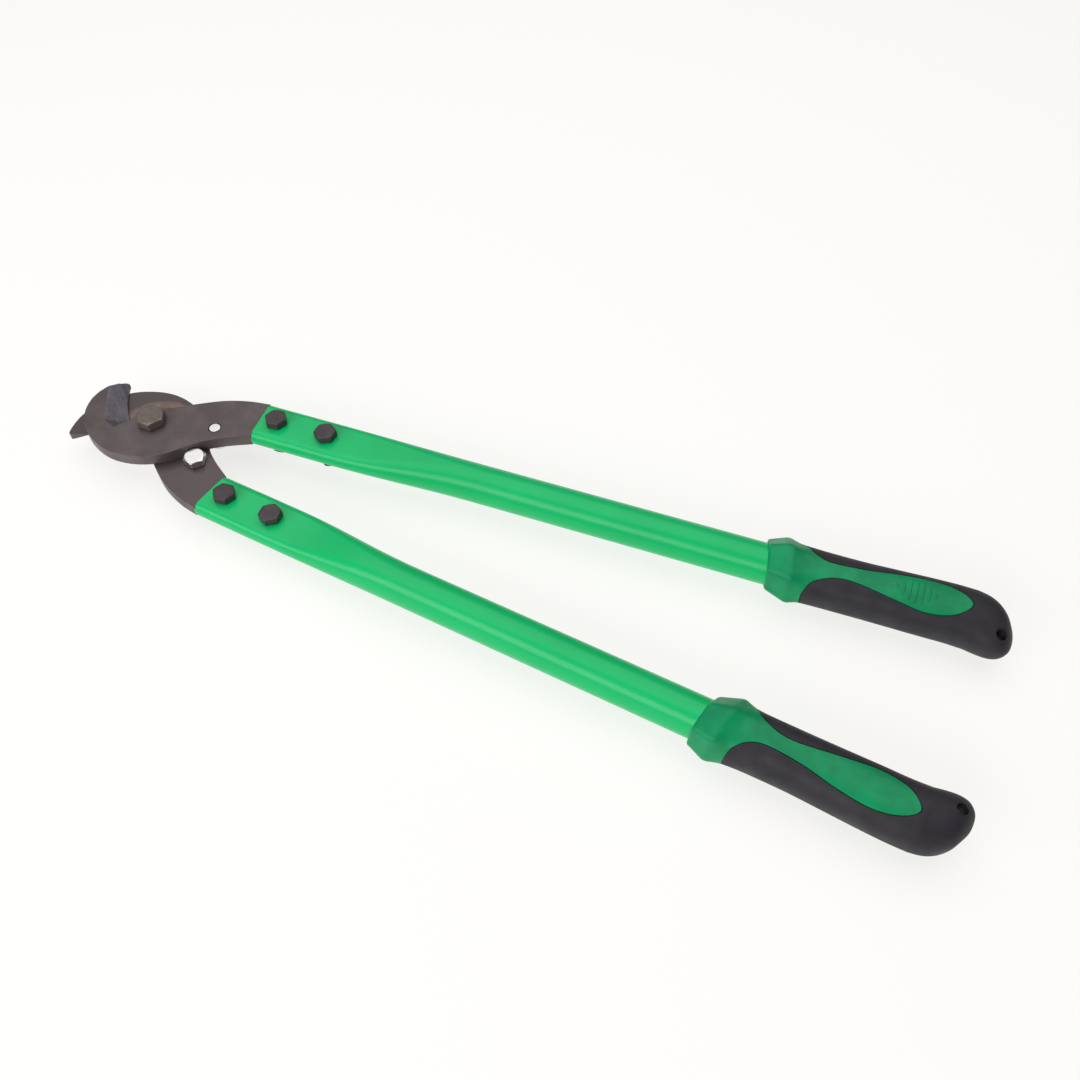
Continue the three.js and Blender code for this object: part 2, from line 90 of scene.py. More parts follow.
def channels(colour):
    """Three sRGB channels from 0 to 1, of a hex code or of a colour that has them already."""
    if isinstance(colour, str):
        return [int(colour[i:i + 2], 16) / 255 for i in (1, 3, 5)]
    return list(colour)


def linear(colour):
    """An sRGB colour as the linear RGBA that the shaders take."""
    return [c / 12.92 if c <= 0.04045 else ((c + 0.055) / 1.055) ** 2.4
            for c in channels(colour)] + [1]


def shade(colour, factor):
    """An sRGB colour made lighter or darker by a factor."""
    return [min(1, c * factor) for c in channels(colour)]


# Settings that a user would change

class CutterSizes(bpy.types.PropertyGroup):
    edge_rounding: bpy.props.FloatProperty(
        name="Edge rounding", description="Rounding of the jaws' forged edges",
        default=0.5 * MM, min=0.1 * MM, max=1.0 * MM, precision=5, unit="LENGTH")
    tube_wall: bpy.props.FloatProperty(
        name="Tube wall", description="Thickness of the handle tubes",
        default=1.5 * MM, min=0.8 * MM, max=2.0 * MM, precision=5, unit="LENGTH")
    seam: bpy.props.FloatProperty(
        name="Grip seam", description="Groove between the grip's two materials",
        default=0.5 * MM, min=0.3 * MM, max=1.0 * MM, precision=5, unit="LENGTH")
    ribs: bpy.props.IntProperty(
        name="Thumb ribs", description="Low ribs across the widest part of the leaf",
        default=7, min=0, max=9, subtype="UNSIGNED")


class CutterColours(bpy.types.PropertyGroup):
    oxide: bpy.props.FloatVectorProperty(
        name="Black oxide", description="Colour of the jaws",
        default=channels("#6E6364"), min=0, max=1, subtype="COLOR_GAMMA")
    bolt_oxide: bpy.props.FloatVectorProperty(
        name="Bolts", description="Colour of the bolts and nuts",
        default=channels("#4C4447"), min=0, max=1, subtype="COLOR_GAMMA")
    paint: bpy.props.FloatVectorProperty(
        name="Handle paint", description="Colour of the tubes",
        default=channels("#00BE6C"), min=0, max=1, subtype="COLOR_GAMMA")
    plastic: bpy.props.FloatVectorProperty(
        name="Grip plastic", description="Colour of the hard part of the grips",
        default=channels("#00905A"), min=0, max=1, subtype="COLOR_GAMMA")
    rubber: bpy.props.FloatVectorProperty(
        name="Grip rubber", description="Colour of the soft part of the grips",
        default=channels("#2A272D"), min=0, max=1, subtype="COLOR_GAMMA")


def sizes():
    return bpy.context.scene.cutter_sizes


def colours():
    return bpy.context.scene.cutter_colours


# Materials

def node(tree, kind, settings=None, **inputs):
    """Adds a node. An input is a value, or an output socket of another node to link from."""
    made = tree.nodes.new(kind)
    for key, value in (settings or {}).items():
        setattr(made, key, value)
    for key, value in inputs.items():
        socket = made.inputs[int(key[1:]) if key[0] == "_" else key.replace("_", " ")]
        if isinstance(value, bpy.types.NodeSocket):
            tree.links.new(value, socket)
        else:
            socket.default_value = value
    return made


def new_material(name):
    """An empty material, and its tree, Principled shader and Object coordinates."""
    made = bpy.data.materials.new(name)
    made.use_nodes = True
    tree = made.node_tree
    shader = tree.nodes["Principled BSDF"]
    where = tree.nodes.new("ShaderNodeTexCoord").outputs["Object"]
    return made, tree, shader, where


def noise(tree, where, size, detail=4.0, roughness=0.55):
    """Noise whose blotches are about size millimetres across."""
    return node(tree, "ShaderNodeTexNoise", Vector=where, Scale=1 / (size * MM),
                Detail=detail, Roughness=roughness).outputs["Fac"]


def spread_out(tree, value, low, high, to_low, to_high):
    """Maps low to high onto to_low to to_high, and holds values outside."""
    return node(tree, "ShaderNodeMapRange", _0=value, _1=low, _2=high, _3=to_low,
                _4=to_high).outputs[0]


def blend(tree, factor, first, second):
    """Mixes two colours, each an sRGB colour or a socket."""
    first, second = (c if isinstance(c, bpy.types.NodeSocket) else linear(c)
                     for c in (first, second))
    return node(tree, "ShaderNodeMix", {"data_type": "RGBA"}, _0=factor, _6=first,
                _7=second).outputs[2]


def bump(tree, shader, height, depth):
    """Relief on the shader's surface, depth in millimetres."""
    relief = node(tree, "ShaderNodeBump", Height=height, Strength=1, Distance=depth * MM)
    tree.links.new(relief.outputs["Normal"], shader.inputs["Normal"])


def black_oxide(name, colour, grain=0.7, mottle=16.0, metallic=0.7):
    """Black oxide on forged steel: dark warm grey, satin, with cloudy patches from handling."""
    made, tree, shader, where = new_material(name)
    cloud = spread_out(tree, noise(tree, where, mottle, 6), 0.35, 0.68, 0, 1)
    fine = noise(tree, where, grain, 3)
    base = blend(tree, cloud, shade(colour, 0.94), shade(colour, 1.05))
    speck = spread_out(tree, fine, 0.6, 0.75, 0, 0.35)
    tree.links.new(blend(tree, speck, base, shade(colour, 1.2)), shader.inputs["Base Color"])
    shader.inputs["Metallic"].default_value = metallic
    tree.links.new(spread_out(tree, cloud, 0, 1, 0.58, 0.44), shader.inputs["Roughness"])
    bump(tree, shader, fine, 0.03)
    return made


def rubbed_steel(name, colour):
    """Steel where handling has rubbed the oxide off: lighter, a little brown and smoother."""
    made, tree, shader, where = new_material(name)
    patches = spread_out(tree, noise(tree, where, 3.5, 5), 0.38, 0.66, 0, 1)
    base = blend(tree, patches, shade(colour, 0.72), shade(colour, 1.12))
    tree.links.new(base, shader.inputs["Base Color"])
    shader.inputs["Metallic"].default_value = 0.85
    shader.inputs["Roughness"].default_value = 0.4
    bump(tree, shader, noise(tree, where, 0.6, 3), 0.02)
    return made


def mating_face(name, colour):
    """The face that slides on the other jaw: scraped in arcs about the pivot, with bare rings."""
    made, tree, shader, where = new_material(name)
    flat = node(tree, "ShaderNodeVectorMath", {"operation": "MULTIPLY"}, _0=where,
                _1=(1, 1, 0)).outputs[0]
    reach = node(tree, "ShaderNodeVectorMath", {"operation": "LENGTH"}, _0=flat).outputs["Value"]
    inner = spread_out(tree, reach, 19 * MM, 23.5 * MM, 0, 1)
    outer = spread_out(tree, reach, 25 * MM, 29 * MM, 1, 0)
    ring = node(tree, "ShaderNodeMath", {"operation": "MULTIPLY"}, _0=inner, _1=outer).outputs[0]
    patches = spread_out(tree, noise(tree, where, 6, 5), 0.3, 0.7, 0.35, 1)
    worn = node(tree, "ShaderNodeMath", {"operation": "MULTIPLY"}, _0=ring,
                _1=patches).outputs[0]
    groove = node(tree, "ShaderNodeTexNoise", {"noise_dimensions": "1D"}, W=reach,
                  Scale=1 / (0.6 * MM), Detail=3).outputs["Fac"]
    base = blend(tree, spread_out(tree, groove, 0.35, 0.65, 0, 1), colour, shade(colour, 1.14))
    tree.links.new(blend(tree, worn, base, "#A08878"), shader.inputs["Base Color"])
    shader.inputs["Metallic"].default_value = 0.8
    shader.inputs["Roughness"].default_value = 0.45
    bump(tree, shader, groove, 0.02)
    return made


def ground_bevel(name, colour):
    """The hook's ground bevel: a cooler, darker face with fine grinding lines towards the edge."""
    made, tree, shader, where = new_material(name)
    edge = EDGE_HEEL - EDGE_TIPS["upper"]
    square = node(tree, "ShaderNodeMapping", Vector=where,
                  Rotation=(0, 0, -Vector((1, 0)).angle(edge))).outputs[0]
    turned = node(tree, "ShaderNodeMapping", Vector=square,
                  Scale=(1 / (0.7 * MM), 1 / (9 * MM), 1 / (9 * MM))).outputs[0]
    lines = node(tree, "ShaderNodeTexNoise", Vector=turned, Scale=1.0, Detail=4).outputs["Fac"]
    cloud = spread_out(tree, noise(tree, where, 8, 4), 0.35, 0.65, 0, 1)
    base = blend(tree, cloud, shade(colour, 0.84), shade(colour, 1.04))
    streak = spread_out(tree, lines, 0.45, 0.75, 0, 0.4)
    tree.links.new(blend(tree, streak, base, shade(colour, 1.3)), shader.inputs["Base Color"])
    shader.inputs["Metallic"].default_value = 0.8
    shader.inputs["Roughness"].default_value = 0.42
    bump(tree, shader, lines, 0.02)
    return made


def zinc_plate():
    """Bright zinc plate: pale, cool and mirror-like, slightly cloudy from the plating bath."""
    made, tree, shader, where = new_material("bright_zinc_plate")
    cloud = noise(tree, where, 2.2, 4)
    tree.links.new(blend(tree, cloud, "#DADADB", "#F2F1EE"), shader.inputs["Base Color"])
    shader.inputs["Metallic"].default_value = 1.0
    shader.inputs["Roughness"].default_value = 0.28
    return made


def gloss_paint():
    """Sprayed gloss enamel on steel tube: clear hard reflections with a faint orange peel."""
    made, tree, shader, where = new_material("gloss_green_enamel")
    colour = colours().paint
    cloud = noise(tree, where, 40, 3)
    base = blend(tree, cloud, shade(colour, 0.94), shade(colour, 1.05))
    dust = spread_out(tree, noise(tree, where, 0.9, 2), 0.7, 0.78, 0, 0.25)
    tree.links.new(blend(tree, dust, base, shade(colour, 1.3)), shader.inputs["Base Color"])
    shader.inputs["Roughness"].default_value = 0.4
    shader.inputs["Specular IOR Level"].default_value = 0.2
    shader.inputs["Coat Weight"].default_value = 0.3
    shader.inputs["Coat Roughness"].default_value = 0.18
    bump(tree, shader, noise(tree, where, 2.4, 1), 0.012)
    return made


def grip_plastic():
    """Moulded polypropylene: satin green with a fine spark-eroded texture and faint flow marks."""
    made, tree, shader, where = new_material("moulded_green_polypropylene")
    colour = colours().plastic
    cloud = spread_out(tree, noise(tree, where, 14, 4), 0.35, 0.65, 0, 1)
    base = blend(tree, cloud, shade(colour, 0.93), shade(colour, 1.05))
    scuff = spread_out(tree, noise(tree, where, 1.6, 5, 0.7), 0.62, 0.78, 0, 0.3)
    tree.links.new(blend(tree, scuff, base, shade(colour, 1.25)), shader.inputs["Base Color"])
    tree.links.new(spread_out(tree, cloud, 0, 1, 0.46, 0.36), shader.inputs["Roughness"])
    shader.inputs["Specular IOR Level"].default_value = 0.25
    bump(tree, shader, noise(tree, where, 0.5, 2), 0.02)
    return made


def grip_rubber():
    """Moulded thermoplastic rubber: charcoal, nearly matt, with a fine eroded texture."""
    made, tree, shader, where = new_material("moulded_black_rubber")
    colour = colours().rubber
    cloud = spread_out(tree, noise(tree, where, 11, 5), 0.35, 0.65, 0, 1)
    base = blend(tree, cloud, shade(colour, 0.9), shade(colour, 1.1))
    speck = spread_out(tree, noise(tree, where, 0.8, 4, 0.7), 0.6, 0.75, 0, 0.4)
    tree.links.new(blend(tree, speck, base, shade(colour, 1.35)), shader.inputs["Base Color"])
    tree.links.new(spread_out(tree, cloud, 0, 1, 0.62, 0.52), shader.inputs["Roughness"])
    shader.inputs["Specular IOR Level"].default_value = 0.35
    bump(tree, shader, noise(tree, where, 0.6, 3), 0.035)
    return made


# Meshes

def arm_matrix(arm):
    """From an arm's millimetres to the whole cutter's."""
    lifted = Matrix.Translation((0, 0, MATING_Z))
    return lifted if arm == "upper" else lifted @ Matrix.Rotation(pi, 4, "X")


def handle_matrix(arm):
    return arm_matrix(arm) @ Matrix.Rotation(SPREAD, 4, "Z") @ Matrix.Translation(
        (0, TUBE_OFFSET, 0))


def recalculate(bm):
    bmesh.ops.remove_doubles(bm, verts=bm.verts, dist=1e-4)
    bmesh.ops.recalc_face_normals(bm, faces=bm.faces)


def finish_piece(bm, name, matrix, materials, smooth_angle=35):
    """Makes the finished object, in metres, with its place in its mesh."""
    bmesh.ops.transform(bm, matrix=Matrix.Scale(MM, 4) @ matrix, verts=bm.verts)
    mesh = bpy.data.meshes.new(name)
    bm.to_mesh(mesh)
    bm.free()
    piece = bpy.data.objects.new(name, mesh)
    bpy.context.scene.collection.objects.link(piece)
    for material in materials:
        mesh.materials.append(material)
    mesh.shade_smooth()
    mesh.set_sharp_from_angle(angle=radians(smooth_angle))
    weighted = piece.modifiers.new("even_shading", "WEIGHTED_NORMAL")
    weighted.keep_sharp = True
    return piece


def sharp_edges(bm, angle):
    return [e for e in bm.edges if len(e.link_faces) == 2 and e.calc_face_angle() > radians(angle)]


def round_edges(bm, edges, offset, segments=2):
    """Bevels edges and returns the new faces."""
    return bmesh.ops.bevel(
        bm, geom=edges, offset=offset, offset_type="OFFSET", affect="EDGES", segments=segments,
        profile=0.5, material=-1, clamp_overlap=True)["faces"]


def loft(rings, closed_round=False):
    """A skin through rings of points, extruded from one ring to the next.

    The first and last rings are capped, or joined to each other if closed_round is set.
    """
    bm = bmesh.new()
    verts = bmesh.ops.create_circle(bm, segments=len(rings[0]), radius=1)["verts"]
    edges = list(bm.edges)
    start = list(edges)
    for vert, point in zip(verts, rings[0]):
        vert.co = point
    for ring in rings[1:]:
        made = bmesh.ops.extrude_edge_only(bm, edges=edges)["geom"]
        edges = [g for g in made if isinstance(g, bmesh.types.BMEdge)]
        fresh = {g for g in made if isinstance(g, bmesh.types.BMVert)}
        following = []
        for vert, point in zip(verts, ring):
            ahead = next(e.other_vert(vert) for e in vert.link_edges
                         if e.other_vert(vert) in fresh)
            ahead.co = point
            following.append(ahead)
        verts = following
        edges = [e for e in edges if e.verts[0] in fresh and e.verts[1] in fresh]
    if closed_round:
        bmesh.ops.bridge_loops(bm, edges=start + edges)
    else:
        bmesh.ops.edgeloop_fill(bm, edges=start)
        bmesh.ops.edgeloop_fill(bm, edges=edges)
    recalculate(bm)
    return bm


def circle(radius, height, count=32, centre=(0, 0)):
    return [Vector((centre[0] + radius * cos(2 * pi * i / count),
                    centre[1] + radius * sin(2 * pi * i / count), height))
            for i in range(count)]


def combine(body, tool, operation):
    """body with the closed mesh tool joined to it, taken from it, or kept where both are."""
    scene = bpy.context.scene
    objects = []
    for part in (body, tool):
        mesh = bpy.data.meshes.new("work")
        part.to_mesh(mesh)
        part.free()
        objects.append(bpy.data.objects.new("work", mesh))
        scene.collection.objects.link(objects[-1])
    joining = objects[0].modifiers.new("joining", "BOOLEAN")
    joining.object = objects[1]
    joining.operation = operation
    joining.solver = "MANIFOLD"
    depsgraph = bpy.context.evaluated_depsgraph_get()
    result = bmesh.new()
    result.from_mesh(objects[0].evaluated_get(depsgraph).to_mesh())
    for obj in objects:
        mesh = obj.data
        bpy.data.objects.remove(obj)
        bpy.data.meshes.remove(mesh)
    if not result.faces:
        raise RuntimeError("a %s of two meshes left nothing" % operation.lower())
    return result


def join(bm, other):
    """Adds a separate closed mesh to bm."""
    mesh = bpy.data.meshes.new("work")
    other.to_mesh(mesh)
    other.free()
    bm.from_mesh(mesh)
    bpy.data.meshes.remove(mesh)


def shift(bm, x=0.0, y=0.0, z=0.0):
    bmesh.ops.translate(bm, vec=(x, y, z), verts=bm.verts)


# Fasteners. Each stands on z = 0 with its shank below.

SIDE_STEPS = 8  # vertices along each side of a hexagon
HEX_STEPS = 6 * SIDE_STEPS
TOP_SHARE = 0.95  # of a hexagon's width, inside its chamfer
CHAMFER = tan(radians(30))


def hex_ring(across, height, chamfer_from=None, downwards=False):
    """A hexagon's outline, dipped by the 30 degree chamfer outside the radius chamfer_from."""
    ring = []
    for i in range(HEX_STEPS):
        angle = 2 * pi * i / HEX_STEPS
        reach = across / 2 / cos((angle % (pi / 3)) - pi / 6)
        dip = 0 if chamfer_from is None else max(0, reach - chamfer_from) * CHAMFER
        z = height + dip if downwards else height - dip
        ring.append(Vector((reach * cos(angle), reach * sin(angle), z)))
    return ring


def hex_head(across, height):
    """A bolt's head, chamfered on top."""
    flat = across / 2 * TOP_SHARE
    bm = loft([
        circle(flat, 0, HEX_STEPS),
        hex_ring(across, 0.25),
        hex_ring(across, height, flat),
        circle(flat, height, HEX_STEPS),
        circle(flat - 0.35, height, HEX_STEPS),
    ])
    round_edges(bm, sharp_edges(bm, 45), 0.25)
    return bm


def threaded_end(radius, top, bottom, pitch):
    """A shank from top to bottom with thread crests on its lowest six turns, and a lead-in."""
    depth = 0.54 * pitch
    turns = 6
    start = min(top - 0.1, bottom + 0.6 * depth + turns * pitch)
    rings = [circle(radius, top), circle(radius, start)]
    z = start
    while z - pitch > bottom + 0.6 * depth:
        rings.append(circle(radius - depth, z - pitch / 2))
        rings.append(circle(radius, z - pitch))
        z -= pitch
    rings += [circle(radius - 0.6 * depth, bottom + 0.05), circle(radius - 1.2 * depth, bottom)]
    return loft(rings)


def hex_bolt(thread, length):
    """A bolt whose head stands on z = 0, with its shank of the given length below."""
    bm = hex_head(thread.across, thread.head)
    join(bm, threaded_end(thread.radius, -0.01, -length, thread.pitch))
    return bm


def hex_nut(thread, flange=None):
    """A nut below z = 0, chamfered on its free side. A flange is its (radius, thickness)."""
    across, height, count = thread.across, thread.nut, HEX_STEPS
    flat = across / 2 * TOP_SHARE
    if flange:
        rim, thickness = flange
        top = [circle(rim - 0.2, 0, count), circle(rim, -0.3, count),
               circle(rim, -thickness * 0.7, count), circle(rim - 0.5, -thickness, count),
               hex_ring(across, -thickness - 0.9)]
    else:
        top = [circle(flat, 0, count), hex_ring(across, -0.2, flat, True)]
    free_side = [hex_ring(across, -height, flat, True), circle(flat, -height, count)]
    bore, mouth = thread.radius + 0.15, thread.radius + 0.6
    inside = [circle(mouth, -height, count), circle(bore, -height + 0.5, count),
              circle(bore, -0.5, count), circle(mouth, 0, count)]
    bm = loft(top + free_side + inside, closed_round=True)
    round_edges(bm, sharp_edges(bm, 50), 0.15)
    return bm


def washer(outer, inner, thickness):
    """A washer below z = 0, from its two radii."""
    bm = loft([circle(outer, 0, 64), circle(outer, -thickness, 64),
               circle(inner, -thickness, 64), circle(inner, 0, 64)], closed_round=True)
    round_edges(bm, sharp_edges(bm, 50), 0.2)
    return bm


# Jaws

def edge_arc(arm):
    """Centre and radius of the hollowed cutting edge, in an arm's millimetres."""
    chord = EDGE_HEEL - EDGE_TIPS[arm]
    radius = chord.length_squared / (8 * EDGE_SAG) + EDGE_SAG / 2
    to_mouth = Vector((-chord.y, chord.x)).normalized()
    return (EDGE_TIPS[arm] + EDGE_HEEL) / 2 + to_mouth * (radius - EDGE_SAG), radius


OXIDE, RUBBED, GROUND, MATING = range(4)  # material slots of a jaw


def jaw(arm):
    """The forged jaw: the solid's outline with rounded, rubbed edges and a ground hook."""
    to_arm = arm_matrix(arm).inverted() @ Matrix.Scale(1 / MM, 4)
    bm = bmesh.new()
    bm.from_mesh(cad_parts["jaw_" + arm].data)
    bmesh.ops.transform(bm, matrix=to_arm, verts=bm.verts)
    bmesh.ops.remove_doubles(bm, verts=bm.verts, dist=0.01)
    bmesh.ops.dissolve_limit(bm, angle_limit=radians(0.4), verts=bm.verts, edges=bm.edges)
    bm.normal_update()
    centre, radius = edge_arc(arm)

    def on_cutting_edge(edge):
        return all(
            v.co.z < 1.2 and abs((v.co.xy - centre).length - radius) < 0.3
            and v.co.x < HOOK_START for v in edge.verts)

    for face in bm.faces:
        sloping = 0.5 < face.normal.z < 0.985
        if face.normal.z < -0.99:
            face.material_index = MATING
        elif sloping and face.calc_center_median().x < HOOK_START:
            face.material_index = GROUND
        else:
            face.material_index = OXIDE
    sharp = [e for e in sharp_edges(bm, 28) if not on_cutting_edge(e)]
    for face in round_edges(bm, sharp, sizes().edge_rounding / MM, 3):
        face.material_index = RUBBED
    return bm


# Handles

def smooth_step(t):
    """From 0 to 1 with no slope or bend at either end."""
    t = min(max(t, 0), 1)
    return t ** 3 * (t * (t * 6 - 15) + 10)


TUBE_RADIUS = 12.5
MOUTH, FLAT_END, ROUND_START, TUBE_END = 66.7, 114, 230, 512
MOUTH_SLANT = -0.055
FLAT_WIDTH = 31.8
JAW_MIDDLE = 4.15
FLAT_HALF = 5.8  # half the flattened end's thickness
TUBE_SIDES = 72


def tube_ring(along, inset):
    """The tube's section: round at the grip, pressed flat round the jaw's tang."""
    round_share = smooth_step((along - FLAT_END) / (ROUND_START - FLAT_END))
    flat_share = 1 - round_share
    reach = (FLAT_WIDTH / 2 - FLAT_HALF) * flat_share
    rounding = FLAT_HALF + (TUBE_RADIUS - FLAT_HALF) * round_share - inset
    forward = max(0, (FLAT_END - along) / (FLAT_END - MOUTH))
    ring = []
    for i in range(TUBE_SIDES):
        angle = 2 * pi * (i + 0.5) / TUBE_SIDES
        across = (reach if cos(angle) > 0 else -reach) + cos(angle) * rounding
        ring.append(Vector((along + MOUTH_SLANT * across * forward,
                            across - FLAT_INBOARD * flat_share,
                            sin(angle) * rounding + JAW_MIDDLE * flat_share)))
    return ring


def tube():
    """The handle's tube, its mouth's edge rounded inside and out."""
    steps = [MOUTH, MOUTH + 1, 80, 100]
    steps += [FLAT_END + i * (ROUND_START - FLAT_END) / 32 for i in range(33)]
    steps += [320, 420, TUBE_END]
    wall = sizes().tube_wall / MM
    rings = [tube_ring(MOUTH + 0.02, 0.45), tube_ring(MOUTH + 0.1, 0.12)]
    rings += [tube_ring(s, 0) for s in steps[1:]]
    rings += [tube_ring(s, wall) for s in reversed(steps[1:])]
    rings += [tube_ring(MOUTH + 0.1, wall - 0.12), tube_ring(MOUTH + 0.02, wall - 0.45)]
    return loft(rings, closed_round=True)


# Grips

# The grip's sections: distance along, outboard, inboard, half-height, share of the hexagon,
# share of the lean
GRIP_RINGS = [
    (406.3, 14.2, 14.2, 14.2, 1, 1),
    (406.5, 14.8, 14.8, 14.8, 1, 1),
    (407.1, 15.4, 15.4, 15.4, 1, 1),
    (408.2, 15.9, 15.9, 15.9, 1, 1),
    (412, 17.3, 17.3, 17.3, 1, 1),
    (416.8, 19.1, 19.1, 19.1, 1, 1),
    (418.6, 19.6, 19.6, 19.6, 1, 1),
    (420.4, 19.5, 19.5, 19.5, 1, 1),
    (422.2, 18.9, 18.9, 18.7, 0.9, 1),
    (425.5, 17.8, 17.8, 17.2, 0.6, 1),
    (428.5, 17.1, 17.2, 16.2, 0.3, 0.95),
    (433, 16.6, 16.8, 15.6, 0.08, 0.8),
    (440, 16.3, 16.6, 15.2, 0, 0.5),
    (460, 16.3, 16.4, 15.2, 0, 0),
    (480, 17.2, 16.4, 15.2, 0, 0),
    (500, 18.2, 16.5, 15.2, 0, 0),
    (515, 18.6, 16.4, 15.2, 0, 0),
    (526, 18.4, 17, 15, 0, 0),
    (533, 17, 18.4, 14.2, 0, 0),
    (539, 13.8, 19, 12.9, 0, 0),
    (544, 8.6, 18.2, 10.6, 0, 0),
    (547.4, 2.2, 15.8, 7.2, 0, 0),
    (549.4, -2.8, 12.6, 3.5, 0, 0),
    (550, -7.4, 7.8, 0.25, 0, 0),
]
SQUARENESS = 2.3
COLLAR_SLANT = 0.2
COLLAR_CORNERS = radians(14)
COLLAR_END = 427.3
CORNER_SHARPNESS = 16
GRIP_SIDES = 96
LEAF_INBOARD = [(419.3, 24), (429.3, 17.5), (434, 11.5), (440, 7.8), (447, 5.3), (456, 4.6),
                (470, 6.4), (485, 8.7), (498, 10.2), (510, 8.9), (518, 5.2)]
LEAF_OUTBOARD = [(419.3, 24), (424.3, 17.5), (427.5, 12), (433.5, 6.6), (443, 4), (463, 5.6),
                 (480, 8.9), (498, 11.1), (510, 10.2), (519, 6.8)]
LEAF_TIP = (523.3, 1.5)
HANG_HOLE = (541.6, -9.6)
BORE_START = 390
CORE_BORE = {"radius": 12.8, "end": 512.6}
SKIN_BORE = {"radius": 14.1, "end": 525.3}
RIB_MIDDLE, RIB_SPACING = 492, 3.6


def spline(points, steps):
    """Points on a smooth curve through the given points, steps to each stretch."""
    out = []
    for i in range(len(points) - 1):
        a = points[max(i - 1, 0)]
        b, c = points[i], points[i + 1]
        d = points[min(i + 2, len(points) - 1)]
        for k in range(steps):
            t = k / steps
            out.append(tuple(
                0.5 * (2 * q + (r - p) * t + (2 * p - 5 * q + 4 * r - s) * t * t
                       + (3 * q - p - 3 * r + s) * t ** 3)
                for p, q, r, s in zip(a, b, c, d)))
    out.append(tuple(points[-1]))
    return out


def hexagon_reach(angle):
    """Radius of a unit hexagon with softened corners."""
    p = CORNER_SHARPNESS
    sides = [COLLAR_CORNERS + pi / 6 + k * pi / 3 for k in range(3)]
    total = sum(abs(cos(angle - side)) ** p for side in sides)
    return 2 ** (1 / p) * cos(pi / 6) / total ** (1 / p)


def grip_ring(along, outboard, inboard, height, hexagonal, lean):
    """A section of the grip, between a squared oval and a hexagon."""
    ring = []
    for i in range(GRIP_SIDES):
        angle = 2 * pi * (i + 0.5) / GRIP_SIDES
        c, s = cos(angle), sin(angle)
        bow = [(1 if v > 0 else -1) * abs(v) ** (2 / SQUARENESS) for v in (c, s)]
        middle, half = (outboard - inboard) / 2, (outboard + inboard) / 2
        y = middle + half * (bow[0] * (1 - hexagonal) + hexagon_reach(angle) * c * hexagonal)
        z = height * (bow[1] * (1 - hexagonal) + hexagon_reach(angle) * s * hexagonal)
        ring.append(Vector((along - COLLAR_SLANT * lean * y, y, z)))
    return ring


def grip_body():
    """The whole grip, before it is cut into core and skin."""
    rows = spline(GRIP_RINGS[:3], 2)[:-1] + spline(GRIP_RINGS[2:12], 4)[:-1]
    rows += spline(GRIP_RINGS[11:18], 10)[:-1] + spline(GRIP_RINGS[17:], 5)
    return loft([grip_ring(*row) for row in rows])


def prism(outline, bottom, top):
    """An upright prism of a closed outline of (x, y) points."""
    bm = bmesh.new()
    ring = bmesh.ops.create_circle(bm, segments=len(outline), radius=1, cap_ends=True)["verts"]
    for vert, (x, y) in zip(ring, outline):
        vert.co = (x, y, bottom)
    grown = bmesh.ops.extrude_face_region(bm, geom=list(bm.faces), use_keep_orig=True)["geom"]
    lifted = [g for g in grown if isinstance(g, bmesh.types.BMVert)]
    bmesh.ops.translate(bm, vec=(0, 0, top - bottom), verts=lifted)
    recalculate(bm)
    return bm


def leaf_prism(grown):
    """The leaf's outline, grown all round, as an upright prism."""
    inboard = [(x, -y - grown) for x, y in LEAF_INBOARD]
    outboard = [(x, y + grown) for x, y in reversed(LEAF_OUTBOARD)]
    tip = (LEAF_TIP[0] + grown, LEAF_TIP[1])
    return prism(spline([*inboard, tip, *outboard], 6), -30, 30)


def collar_block(grown):
    """What lies in front of the skin's leaning front end."""
    bm = bmesh.new()
    bmesh.ops.create_cube(bm, size=80)
    shift(bm, COLLAR_END + grown - 40)
    for vert in bm.verts:
        vert.co.x -= COLLAR_SLANT * vert.co.y
    return bm


def sleeve_bore(radius, end, count=64):
    """The cutter for a round bore along the tube, up to the given distance."""
    rings = [[Vector((x, radius * cos(2 * pi * i / count), radius * sin(2 * pi * i / count)))
              for i in range(count)] for x in (BORE_START, end)]
    return loft(rings)


def hang_hole():
    """The cutter for the hang hole, flared where it leaves the grip's surface."""
    rings = [(6.5, -16), (3.9, -12.9), (3.3, -12), (3.1, -10.5), (3.1, 10.5), (3.3, 12),
             (3.9, 12.9), (6.5, 16)]
    return loft([circle(r, z, 48, HANG_HOLE) for r, z in rings])


def thumb_rib(along):
    """One low rounded rib across the leaf, sunk in the grip's upper face."""
    bm = bmesh.new()
    bmesh.ops.create_uvsphere(bm, u_segments=32, v_segments=16, radius=1)
    half_width = 7.5 - 0.045 * (along - RIB_MIDDLE) ** 2
    bmesh.ops.scale(bm, vec=(0.9, max(half_width, 2), 0.8), verts=bm.verts)
    shift(bm, along, 0.4, 14.75)
    return bm


def grip_core():
    """The hard green moulding: the collar, and the leaf on both faces."""
    half_seam = sizes().seam / MM / 2
    collar = combine(grip_body(), collar_block(-half_seam), "INTERSECT")
    leaf = combine(grip_body(), leaf_prism(-half_seam), "INTERSECT")
    core = combine(collar, leaf, "UNION")
    core = combine(core, sleeve_bore(**CORE_BORE), "DIFFERENCE")
    count = sizes().ribs
    for i in range(count):
        along = RIB_MIDDLE + (i - (count - 1) / 2) * RIB_SPACING
        core = combine(core, thumb_rib(along), "UNION")
    return core


